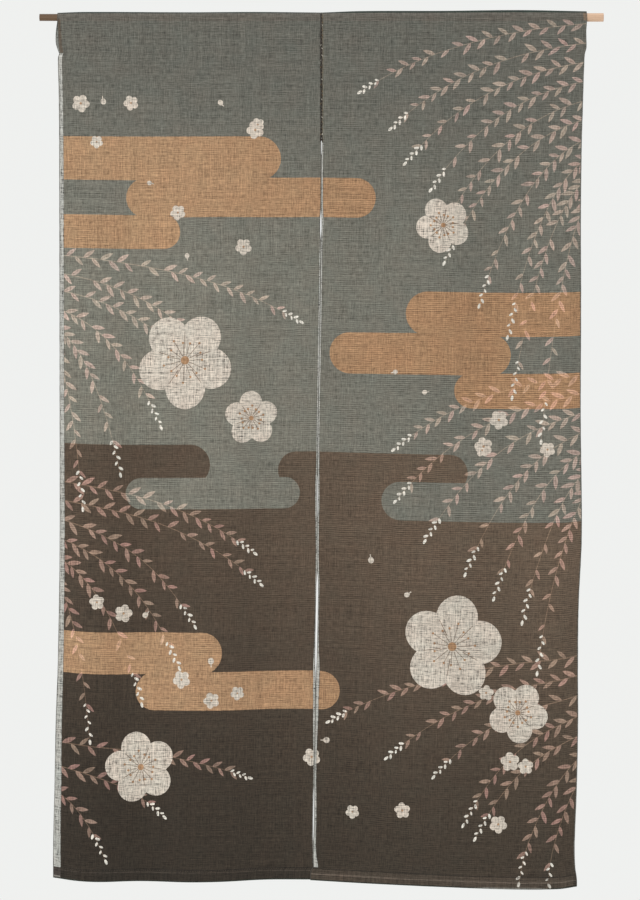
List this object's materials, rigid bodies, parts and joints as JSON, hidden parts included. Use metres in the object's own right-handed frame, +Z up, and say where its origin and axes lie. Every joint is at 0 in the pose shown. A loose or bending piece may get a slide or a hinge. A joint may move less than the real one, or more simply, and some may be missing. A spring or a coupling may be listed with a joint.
{
  "type": "noren curtain with hanging pole",
  "caption": "Split doorway curtain of hemp panels joined at the top, with a rod pocket, turned hems and a long slit, hung on a plain round pole.",
  "frame": {"origin": "middle of the pole's axis, where the two panels' seam crosses it", "axes": "+Z up against the hanging cloth, +X to the viewer's right along the pole, -Y out of the front face"},
  "size_m": [0.97, 0.0292, 1.5132],
  "materials": {
    "hemp_cloth": "matt, slubby plain weave, dyed and printed",
    "pole_wood": "satin, plain grain"
  },
  "bodies": {
    "root": {"panel_left": "hemp_cloth", "panel_right": "hemp_cloth", "pole": "pole_wood"}
  },
  "joints": []
}
